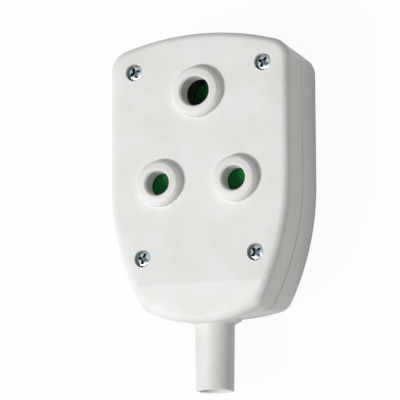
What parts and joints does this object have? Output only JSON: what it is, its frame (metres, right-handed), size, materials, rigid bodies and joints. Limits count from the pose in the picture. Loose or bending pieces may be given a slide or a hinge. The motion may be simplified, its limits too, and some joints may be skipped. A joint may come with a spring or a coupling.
{
  "type": "inline socket connector",
  "caption": "Inline socket for a round-pin plug: two-part moulded housing with raised collars, spring-closed safety shutter, brass contacts, cord clamp and cord guard.",
  "frame": {"origin": "on the flat back face, under the midpoint between the two line holes", "axes": "+Z out of the socket face, +Y towards the domed top, +X to the right seen from the front"},
  "size_m": [0.0602, 0.1127, 0.033],
  "materials": {
    "cover_plastic": "satin moulded white",
    "guard_plastic": "satin moulded white",
    "clamp_plastic": "moulded white",
    "shutter_plastic": "moulded dark green",
    "tray_plastic": "moulded black",
    "spring_steel": "drawn wire and strip",
    "contact_brass": "turned",
    "screw_steel": "zinc plated"
  },
  "bodies": {
    "housing": {"front_cover": "cover_plastic", "rear_cover": "cover_plastic", "cord_guard": "guard_plastic", "cord_clamp": "clamp_plastic", "clamp_screw_left": "screw_steel", "clamp_screw_right": "screw_steel", "shutter_tray": "tray_plastic", "shutter_spring": "spring_steel", "cover_screw_top_left": "screw_steel", "cover_screw_top_right": "screw_steel", "cover_screw_low_left": "screw_steel", "cover_screw_low_right": "screw_steel", "live_contact": "contact_brass", "live_contact_clip": "spring_steel", "live_terminal_screw": "screw_steel", "neutral_contact": "contact_brass", "neutral_contact_clip": "spring_steel", "neutral_terminal_screw": "screw_steel", "earth_contact": "contact_brass", "earth_contact_clip": "spring_steel", "earth_terminal_screw": "screw_steel"},
    "shutter": {"shutter": "shutter_plastic"}
  },
  "joints": [
    {"name": "shutter_slide", "type": "slide", "parent": "housing", "child": "shutter", "axis": [1, 0, 0], "range_m": [0, 0.0086], "stiffness_N_per_m": 60, "springref_m": -0.01, "deforming": ["shutter_spring"]}
  ]
}
